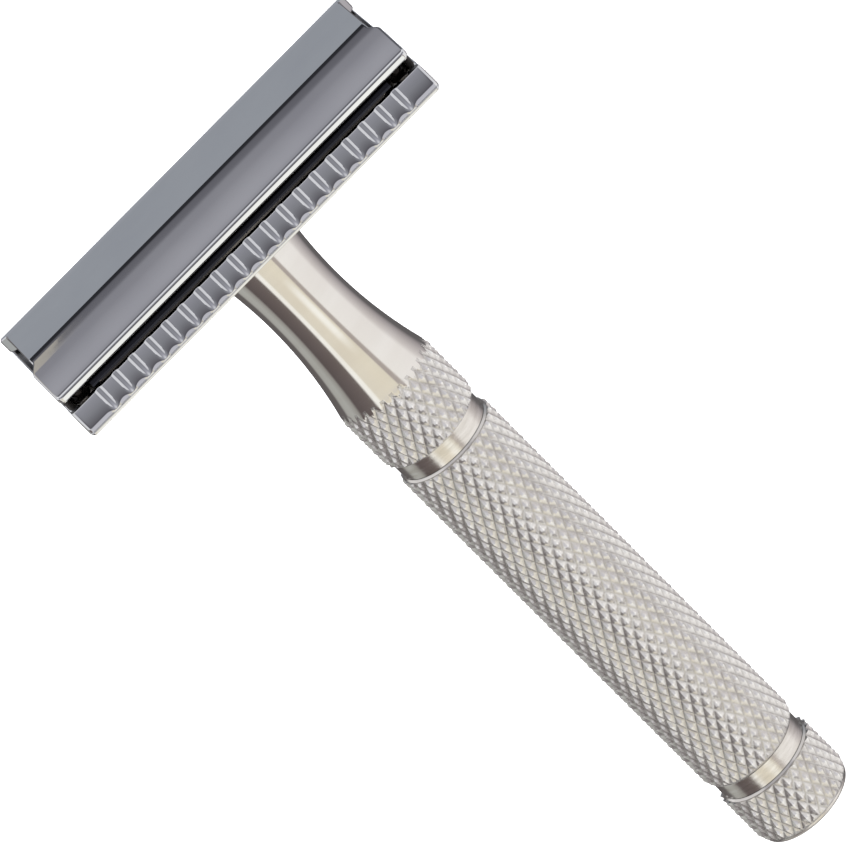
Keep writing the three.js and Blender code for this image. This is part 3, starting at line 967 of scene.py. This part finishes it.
def scallop_depth(x, z):
    """Depth of the nearest scallop below the bar's face at (x, z)."""
    off = scallop_offset(x)
    if off > SCALLOP_R * 0.95:
        return -1.0
    share = min(1.0, max(0.0, (z - BAR_EDGE_Z - 0.03) / (BAR_LAND - BAR_EDGE_Z)))
    deepest = (SCALLOP_DEPTH - 0.05 + 0.1 * share) * (1 - (1 - share) ** 7)
    return math.sqrt(SCALLOP_R ** 2 - off ** 2) - (SCALLOP_R - deepest)


def soft_positive(value, blend=0.012):
    """max(value, 0) with its corner rounded off."""
    return 0.5 * (value + math.sqrt(value * value + blend * blend))


def bar_stations():
    """Places along a bar: dense enough for its scallops, with rounded ends."""
    count = int((SCALLOPS / 2) * SCALLOP_STATIONS)
    xs = [i * SCALLOP_PITCH / SCALLOP_STATIONS for i in range(0, count + 1)]
    straight = HEAD_HALF - CORNER_R
    xs += list(np.linspace(xs[-1], straight, 6)[1:])
    xs += [straight + CORNER_R * math.sin(a) for a in np.radians([12, 25, 38, 51, 64, 76, 85])]
    return mirrored(xs + [HEAD_HALF])


def corner_inset(over):
    """How far a rounded corner draws a wall in, `over` mm past the corner's start."""
    over = max(0.0, over)
    return CORNER_R - math.sqrt(max(CORNER_R ** 2 - over ** 2, 0.0))


def safety_bar(side):
    """One safety bar, lofted along X, with its scallops cut by moving its points."""
    lean = math.atan(FACE_SLOPE)
    rows = []
    for x in bar_stations():
        inset = corner_inset(abs(x) - (HEAD_HALF - CORNER_R))
        row = []
        for y, z, kind in bar_profile(band_arch(x)):
            plane = LAND_OUTER + (BAR_LAND - z) * FACE_SLOPE
            inside = (plane - y) * math.cos(lean)
            cut = scallop_depth(x, z) if kind != "plain" else -1.0
            if cut > -0.1 and kind == "face":
                move = soft_positive(cut - inside) - soft_positive(-0.1 - inside)
                y -= math.cos(lean) * move
                z -= math.sin(lean) * move
            elif cut > -0.1:
                y = min(y, plane - soft_positive(cut) / math.cos(lean) - 0.02)
            y = max(BAR_INNER, y - inset)
            reach = min(abs(x), end_reach(z), foot_reach(z))
            row.append((math.copysign(reach, x), side * y, z + HEAD_Z))
        rows.append(row)
    return capped_loft(rows)


def hub():
    """Boss under the base plate that the neck seats in."""
    return shift_mesh(lathe_ring(HUB_PROFILE, 96), dz=HEAD_Z)


def through(outline, low=-1):
    """A cutter through the plate over an outline, from a height above the bars' underside."""
    return prism(outline, HEAD_Z + low, HEAD_Z + CROWN_TOP + 1)


def base_plate(material, inner):
    """Base plate with its drain slots, post holes, corner pockets, hub and two safety bars."""
    piece = make_object("chromed_base_plate", *plate_core())
    wall = BAR_INNER + 0.01
    cutters = []
    for side in (-1, 1):
        slot_y = side * (SLOT_INNER + wall) / 2
        slot = rounded_rectangle(0, slot_y, DRAIN_HALF, (wall - SLOT_INNER) / 2, DRAIN_R)
        cutters.append(through(slot))
        cutters.append(through(circle(side * POST_X, 0, POST_HOLE_R)))
        for end in (-1, 1):
            place = end * POCKET_X, side * (POCKET_INNER + wall) / 2
            pocket = rounded_rectangle(*place, POCKET_HALF, (wall - POCKET_INNER) / 2, POCKET_R)
            cutters.append(through(pocket, POCKET_FLOOR))
    boolean(piece, "DIFFERENCE", join_meshes(cutters))
    boolean(piece, "UNION", join_meshes([safety_bar(-1), safety_bar(1), hub()]))
    boolean(piece, "DIFFERENCE", through(circle(0, 0, STUD_HOLE_R, 64)))
    outward(piece)
    # Faces between the bars, under the blade and cap, get the darker chrome: painted shade.
    paint_hidden(piece, lambda place, normal: (
        abs(place[1]) < wall and abs(place[0]) < HEAD_HALF - PLATE_END_RUN
        and place[2] > HEAD_Z + PLATE_UNDERSIDE + 0.01))
    return finish_piece(piece, [material, inner], "plate", ["base_plate"], 32)


def cap_edge_profile():
    """The cap's polished edge as (y, z), from the foot of its flank out and down to its lip.
    CAP_EDGE gives the surface's lean and length stretch by stretch."""
    points = [(CAP_HALF, CAP_LIP_TOP)]
    for start, end, length in reversed(CAP_EDGE):
        for lean in np.linspace(end, start, CAP_EDGE_STEPS):
            y, z = points[-1]
            step = length / CAP_EDGE_STEPS
            angle = math.radians(lean)
            points.append((y - step * math.sin(angle), z + step * math.cos(angle)))
    return list(reversed(points))


def cap_top_profile():
    """(y, z) of the cap's upper surface from its middle to the lower edge of its lip."""
    lip_low = arc_height(CAP_UNDER_R, CAP_HALF)
    edge = cap_edge_profile()
    flank_end_y, flank_end_z = edge[0]
    steps = (0, 0.04, 0.09, 0.15, 0.22, 0.3, 0.4, 0.5)
    ys = [CAP_FLAT_HALF + step for step in steps]
    ys += list(np.linspace(CAP_FLAT_HALF + 0.65, CAP_FLAT_HALF + 2.2, 10))
    ys += list(np.linspace(CAP_FLAT_HALF + 2.5, flank_end_y, 10))
    middles = [(a + b) / 2 - CAP_FLAT_HALF for a, b in zip(ys, ys[1:])]
    leans = np.interp(middles, CAP_FLANK_PLACES, CAP_FLANK_LEANS)
    drops = np.tan(np.radians(leans)) * np.diff(ys)
    scale = (CAP_TOP - flank_end_z) / drops.sum()
    heights = CAP_TOP - np.concatenate([[0], np.cumsum(drops * scale)])
    profile = [(y, CAP_TOP) for y in (0.0, CAP_FLAT_HALF - 1.5, CAP_FLAT_HALF - 0.04)]
    profile += list(zip(ys, heights)) + edge[1:]
    profile += [(CAP_HALF, lip_low + 0.12)]
    lip_end = (CAP_HALF - CAP_LIP_R, lip_low + 0.09)
    return profile + fillet(lip_end, CAP_LIP_R, 0, -60, 3)[1:]


def cap_reach(y):
    """Half length of the cap at |y|: the finger notch, its slanted sides, and the corners."""
    notch = HEAD_HALF - NOTCH_DEPTH
    reach = notch + NOTCH_DEPTH * np.interp(abs(y), NOTCH_BENDS, NOTCH_SHARES)
    return reach - corner_inset(abs(y) - (CAP_HALF - CORNER_R))


def densified(profile, extra):
    """The profile with rows added at the given y, before its polished edge."""
    split = next(i for i, (y, z) in enumerate(profile) if y >= CAP_HALF - CAP_EDGE_REACH)
    ys, zs = zip(*profile[:split])
    rows = {round(y, 4): z for y, z in profile[:split]}
    for y in extra:
        rows.setdefault(round(y, 4), float(np.interp(y, ys, zs)))
    return sorted(rows.items()) + profile[split:]


def cap_section(y, z, under):
    """One section of the cap along X, between its upper and under side, with rounded ends."""
    reach = cap_reach(min(abs(y), CAP_HALF))
    radius = min(CAP_END_R, max((z - under) * 0.45, 0.01))
    end = [(reach - radius - 0.05, z)]
    end += fillet((reach - radius, z - radius), radius, 90, 0, 6)
    end += fillet((reach - radius, under + radius), radius, 0, -90, 4)
    outline = [(-x, h) for x, h in reversed(end)] + end
    return [(x, y, h + HEAD_Z) for x, h in outline]


def cap_shell():
    """The cap's closed shell, lofted across Y from sections that run along X."""
    slant_end = NOTCH_HALF + NOTCH_SLANT
    bends = NOTCH_BENDS + [NOTCH_HALF, NOTCH_HALF + 0.3, NOTCH_HALF + 0.6, slant_end]
    upper = densified(cap_top_profile(), bends)
    under = [min(arc_height(CAP_UNDER_R, min(y, CAP_HALF)), z - 0.05) for y, z in upper]
    under[-1] = upper[-1][1] - 0.01
    half = [(y, z, u) for (y, z), u in zip(upper, under)]
    rows = [(-y, z, u) for y, z, u in reversed(half[1:])] + half
    return capped_loft([cap_section(*row) for row in rows])


def cap(material, inner):
    """Cap with a locating lug under each corner."""
    piece = make_object("chromed_top_cap", *cap_shell())
    profile = [
        (LUG_R - 0.12, LUG_END), (LUG_R - 0.035, LUG_END + 0.035), (LUG_R, LUG_END + 0.12),
        (LUG_R, arc_height(CAP_UNDER_R, LUG_Y) + 0.15),
    ]
    lug = lathe_solid([(r, z + HEAD_Z) for r, z in profile], 32)
    corners = [(sx, sy) for sx in (-1, 1) for sy in (-1, 1)]
    lugs = [shift_mesh(lug, sx * POCKET_X, sy * LUG_Y) for sx, sy in corners]
    boolean(piece, "UNION", join_meshes(lugs))
    outward(piece)
    # The cap's underside and the faces under its arch get the darker chrome: painted shade.
    paint_hidden(piece, lambda place, normal: normal.z < -0.5 or (
        abs(place[1]) < CAP_HALF - 0.1 and abs(place[0]) < POCKET_X + 1
        and place[2] < HEAD_Z + arc_height(CAP_UNDER_R, place[1]) + 0.01))
    return finish_piece(piece, [material, inner], "cap", ["top_cap"], 35)


def cap_ceiling():
    """Height of the cap's underside over its middle, where the stud and posts meet it."""
    return HEAD_Z + arc_height(CAP_UNDER_R, 0)


def thread_rows(radius, low, high):
    """Rows of a right-hand thread from a plain lower end to a plain upper end."""
    turns = turn_angles(STUD_COLUMNS) / (2 * math.pi)
    steps = int(round((high - low) / (THREAD_PITCH / 8)))
    rows = []
    for z in np.linspace(low, high, steps + 1):
        wave = (z / THREAD_PITCH - turns) % 1.0
        tooth = np.interp(np.abs(wave - 0.5) * 2, [0.0, 0.15, 0.8, 1.0], [1.0, 1.0, 0.0, 0.0])
        run_in = min(1.0, (z - low) / THREAD_RUN_IN)
        tip = radius - THREAD_RUN_IN * (1 - run_in)
        radii = np.minimum(radius - THREAD_DEPTH * (1 - tooth), tip)
        rows.append(ring(STUD_COLUMNS, radii, z))
    return rows


def stud(material):
    """M5 stud with its helical thread and a plain shoulder where it enters the cap."""
    radius = STUD_HIGH[0]
    under = cap_ceiling()
    rows = thread_rows(radius, STUD_LOW[2], under - 1.6)
    core_r = radius - THREAD_DEPTH
    shank = [(core_r, 1.5), (core_r, 1.2), (radius, 1.0), (radius, -1.0)]
    rows += [ring(STUD_COLUMNS, r, under - below) for r, below in shank]
    quarter_turned = np.array(rows)[:, :, [1, 0, 2]] * (-1, 1, 1)
    mesh_data = with_poles(quarter_turned, grid_faces(len(rows), STUD_COLUMNS))
    piece = make_object("threaded_cap_stud", *mesh_data)
    return finish_piece(piece, [material], "cap", ["cap_stud"], 40)


def post(index, x, material):
    """Alignment post with a chamfered tip and a fillet where it meets the cap."""
    radius = (POST_HIGH[0] - POST_LOW[0]) / 2
    low = POST_LOW[2]
    under = cap_ceiling()
    profile = [
        (0.5, low), (radius - 0.35, low), (radius - 0.1, low + 0.22), (radius, low + 0.45),
        (radius, under - 0.25), (radius + 0.04, under - 0.1), (radius + 0.15, under + 0.02),
        (radius + 0.15, under + 0.6),
    ]
    mesh_data = shift_mesh(lathe_solid(profile, 48), dx=x)
    piece = make_object(f"locating_post_{index}", *mesh_data)
    return finish_piece(piece, [material], "cap", [f"alignment_post_{index}"], 40)


def blade_heights(y):
    """Heights of the blade's upper and lower side, which close up towards its ground edges."""
    high, low = arc_height(BLADE_IN_R + BLADE_THICK, y), arc_height(BLADE_IN_R, y)
    grind = [BLADE_HIGH[1] - BLADE_GRIND, BLADE_HIGH[1] - 0.01]
    thin = np.interp(abs(y), grind, [1.0, 0.08])
    middle = (high + low) / 2
    return HEAD_Z + middle + (high - middle) * thin, HEAD_Z + middle - (middle - low) * thin


def blade_corners(half_x, edge_y):
    """Outlines that cut the four corners off the blade beside its end tabs."""
    corner_x = (BLADE_EDGE_HALF + half_x + 1) / 2
    corner_y = (BLADE_TAB_HALF + edge_y + 1) / 2
    halves = (half_x + 1 - BLADE_EDGE_HALF) / 2, (edge_y + 1 - BLADE_TAB_HALF) / 2
    return [
        rounded_rectangle(sx * corner_x, sy * corner_y, *halves, 0.5)
        for sx in (-1, 1) for sy in (-1, 1)
    ]


def blade_openings():
    """Outlines of the long slot, the stud and post holes, and the smaller openings."""
    openings = [rounded_rectangle(0, 0, 17.2, 0.6, 0.55), circle(0, 0, 2.8, 48)]
    openings += [circle(side * POST_X, 0, POST_HOLE_R) for side in (-1, 1)]
    openings += [rounded_rectangle(side * 7.6, 0, 1.5, 1.0, 0.4) for side in (-1, 1)]
    openings += [rounded_rectangle(side * 16.2, 0, 0.7, 1.3, 0.3) for side in (-1, 1)]
    return openings


def blade(material):
    """Slotted blade, curved over the crown, with ground edges that thin to a line."""
    edge_y = BLADE_HIGH[1]
    half_x = BLADE_HIGH[0] - 0.001
    half_y = list(np.linspace(0, edge_y - 0.3, 28))
    half_y += [edge_y - BLADE_GRIND, edge_y - 0.12, edge_y - 0.01]
    sheet = slab(
        list(np.linspace(-half_x, half_x, 9)), mirrored(half_y),
        lambda x, y: blade_heights(y)[0], lambda x, y: blade_heights(y)[1],
    )
    piece = make_object("double_edge_razor_blade", *sheet)
    low, high = HEAD_Z - 1, HEAD_Z + CAP_TOP
    corners = [prism(outline, low, high) for outline in blade_corners(half_x, edge_y)]
    boolean(piece, "DIFFERENCE", join_meshes(corners))
    for outline in blade_openings():
        boolean(piece, "DIFFERENCE", prism(outline, low, high))
    return finish_piece(piece, [material], "blade", ["double_edge_blade"], 25)


# ======== World, floor and camera ========
def by_level(elevation):
    """An elevation in degrees as a share of the way from straight down to straight up."""
    return (elevation + 90) / 180


def by_turn(azimuth):
    """An azimuth in degrees as a share of the way round from straight behind."""
    return (azimuth + 180) / 360


def by_side(angle):
    """An angle away from straight in front, on either side, as a share of half a turn."""
    return angle / 180


def swept(graph, value, share_of, stops):
    """The colours of (degrees, colour) stops along a value."""
    return graph.ramp(value, [(share_of(degrees), linear(*colour)) for degrees, colour in stops])


def rising(graph, value, share_of, degrees, low=0.0, high=1.0):
    """A smooth change from low to high between two angles."""
    first, last = [share_of(angle) for angle in degrees]
    return graph.mapped(value, first, last, low, high, smooth=True)


def between(graph, value, share_of, degrees):
    """1 between the middle two of four angles, falling smoothly to 0 at the outer two."""
    rise = rising(graph, value, share_of, degrees[:2])
    fall = rising(graph, value, share_of, degrees[2:], 1.0, 0.0)
    return graph.maths("MULTIPLY", rise, fall)


def studio_tent(graph, turn, level, aside):
    """Pale and dark flags round the razor, with a white card in front, a grey one behind and
    the pale floor's bounce low down."""
    tent = swept(graph, turn, by_turn, TENT)
    card = graph.maths("MULTIPLY", between(graph, turn, by_turn, CARD_TURNS),
                       between(graph, level, by_level, CARD_LEVELS))
    tent = graph.mixed(graph.maths("MULTIPLY", card, CARD_SHARE), tent, linear(255, 255, 251))
    rear = graph.maths("MULTIPLY", rising(graph, aside, by_side, REAR_CARD_TURNS),
                       between(graph, level, by_level, REAR_CARD_LEVELS))
    tent = graph.mixed(rear, tent, linear(150, 153, 160))
    bounce = rising(graph, level, by_level, BOUNCE_LEVELS, BOUNCE_SHARE, 0.0)
    return graph.mixed(bounce, tent, linear(228, 226, 223))


def studio_sky(graph, turn, level, aside):
    """Graded ceiling, with its own colours in front, at the sides and behind."""
    front, sides, back = [
        swept(graph, level, by_level, sky) for sky in (FRONT_SKY, SIDE_SKY, BACK_SKY)
    ]
    to_side = rising(graph, aside, by_side, SIDE_TURNS)
    back_left = rising(graph, turn, by_turn, BACK_LEFT_TURNS, 1.0, 0.0)
    back_right = rising(graph, turn, by_turn, BACK_RIGHT_TURNS)
    to_back = graph.maths("MAXIMUM", back_left, back_right)
    return graph.mixed(to_back, graph.mixed(to_side, front, sides), back)


def panel_mask(graph, x, y, z):
    """A far panel high up behind, which the left end of the cap's flank mirrors."""
    low, high = [math.sin(math.radians(angle)) for angle in PANEL_LEVELS]
    foot = graph.mapped(z, low - 0.003, low + 0.003)
    top = graph.mapped(z, high - 0.003, high + 0.003, 1.0, 0.0)
    edge = graph.mapped(z, low, high, *PANEL_EDGE)
    inside = graph.mapped(graph.maths("SUBTRACT", edge, x), -0.0002, 0.0002)
    behind = graph.maths("GREATER_THAN", y, 0.0)
    mask = graph.maths("MULTIPLY", graph.maths("MULTIPLY", foot, top), inside)
    return graph.maths("MULTIPLY", mask, behind)


def studio_world():
    """Soft studio: a tent of flags below the horizon and a soft graded ceiling above it."""
    world = bpy.data.worlds.new("studio")
    bpy.context.scene.world = world
    world.use_nodes = True
    graph = Graph(world.node_tree)
    direction = graph.node("ShaderNodeTexCoord").outputs["Generated"]
    x, y, z = graph.node("ShaderNodeSeparateXYZ", {0: direction}).outputs
    azimuth = graph.maths("ARCTAN2", x, graph.maths("MULTIPLY", y, -1.0))
    turn = graph.mapped(azimuth, -math.pi, math.pi)
    level = graph.mapped(graph.maths("ARCSINE", z), -math.pi / 2, math.pi / 2)
    aside = graph.mapped(graph.maths("ABSOLUTE", azimuth), 0.0, math.pi)
    above = rising(graph, level, by_level, HORIZON_LEVELS)
    tent, sky = studio_tent(graph, turn, level, aside), studio_sky(graph, turn, level, aside)
    colour = graph.mixed(above, tent, sky)
    colour = graph.mixed(panel_mask(graph, x, y, z), colour, linear(176, 170, 160))
    background = graph.node("ShaderNodeBackground", {"Color": colour, "Strength": 1.0})
    graph.node("ShaderNodeOutputWorld", {"Surface": background.outputs[0]})


def floor():
    """Pale table that the razor stands on. It is left out of reflections, like the lights."""
    corners = [
        (x * FLOOR_HALF, y * FLOOR_HALF, -FLOOR_DROP)
        for x, y in ((-1, -1), (1, -1), (1, 1), (-1, 1))
    ]
    piece = make_object("pale_floor", corners, [(0, 1, 2, 3)])
    piece.data.materials.append(floor_material())
    piece.visible_glossy = False


def camera():
    """Long lens, above the front, rolled so that the handle runs down to the right."""
    azimuth, elevation = math.radians(CAMERA_AZIMUTH), math.radians(CAMERA_ELEVATION)
    back = Vector((
        math.sin(azimuth) * math.cos(elevation),
        -math.cos(azimuth) * math.cos(elevation),
        math.sin(elevation),
    ))
    right = Vector((math.cos(azimuth), math.sin(azimuth), 0.0))
    up = back.cross(right)
    roll = math.radians(CAMERA_ROLL)
    rolled_up = up * math.cos(roll) + right * math.sin(roll)
    rolled_right = right * math.cos(roll) - up * math.sin(roll)
    aim = Vector((0, 0, CAMERA_AIM_Z)) + right * CAMERA_AIM_SIDE
    data = bpy.data.cameras.new("camera")
    data.lens = CAMERA_LENS
    data.sensor_width = 36.0
    data.clip_start = 0.01
    data.clip_end = 20.0
    view = bpy.data.objects.new("camera", data)
    bpy.context.scene.collection.objects.link(view)
    turn = Matrix((rolled_right, rolled_up, back)).transposed()
    view.matrix_world = Matrix.Translation(aim + back * CAMERA_DISTANCE) @ turn.to_4x4()
    bpy.context.scene.camera = view


def soft_light(name, place, size, power):
    """A round area light aimed at the razor."""
    data = bpy.data.lights.new(name, "AREA")
    data.shape = "DISK"
    data.size = size
    data.energy = power
    light = bpy.data.objects.new(name, data)
    bpy.context.scene.collection.objects.link(light)
    light.location = place
    towards = Vector(LIGHT_TARGET) - Vector(place)
    light.rotation_euler = towards.to_track_quat("-Z", "Y").to_euler()
    light.visible_glossy = False


# ======== Put it together ========
def build():
    bpy.context.scene.view_settings.view_transform = "Standard"
    chrome = chrome_material()
    knurl = knurl_material()
    turned = band_material()
    machined = stud_material()
    knob([knurl, turned])
    band("plain_band_ring_rear", "rear_band_ring", True, turned)
    barrel([knurl, turned])
    band("plain_band_ring_front", "front_band_ring", False, turned)
    neck([knurl, polished_neck_material()])
    # Darker chrome for the faces inside the head: painted shade.
    inner = shaded_satin_chrome_material()
    base_plate(chrome, inner)
    cap(chrome, inner)
    stud(machined)
    post(1, -POST_X, machined)
    post(2, POST_X, machined)
    blade(blade_material())
    for node, material in (("thread_bush", brass_material()), ("tie_rod", machined)):
        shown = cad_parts[node]
        shown.data.materials.clear()
        shown.data.materials.append(material)
    studio_world()
    soft_light("key_left", (-0.5, -0.7, 0.8), 0.5, KEY_POWER)
    soft_light("fill_right", (0.9, -0.35, 0.25), 0.7, FILL_POWER)
    floor()
    camera()


build()
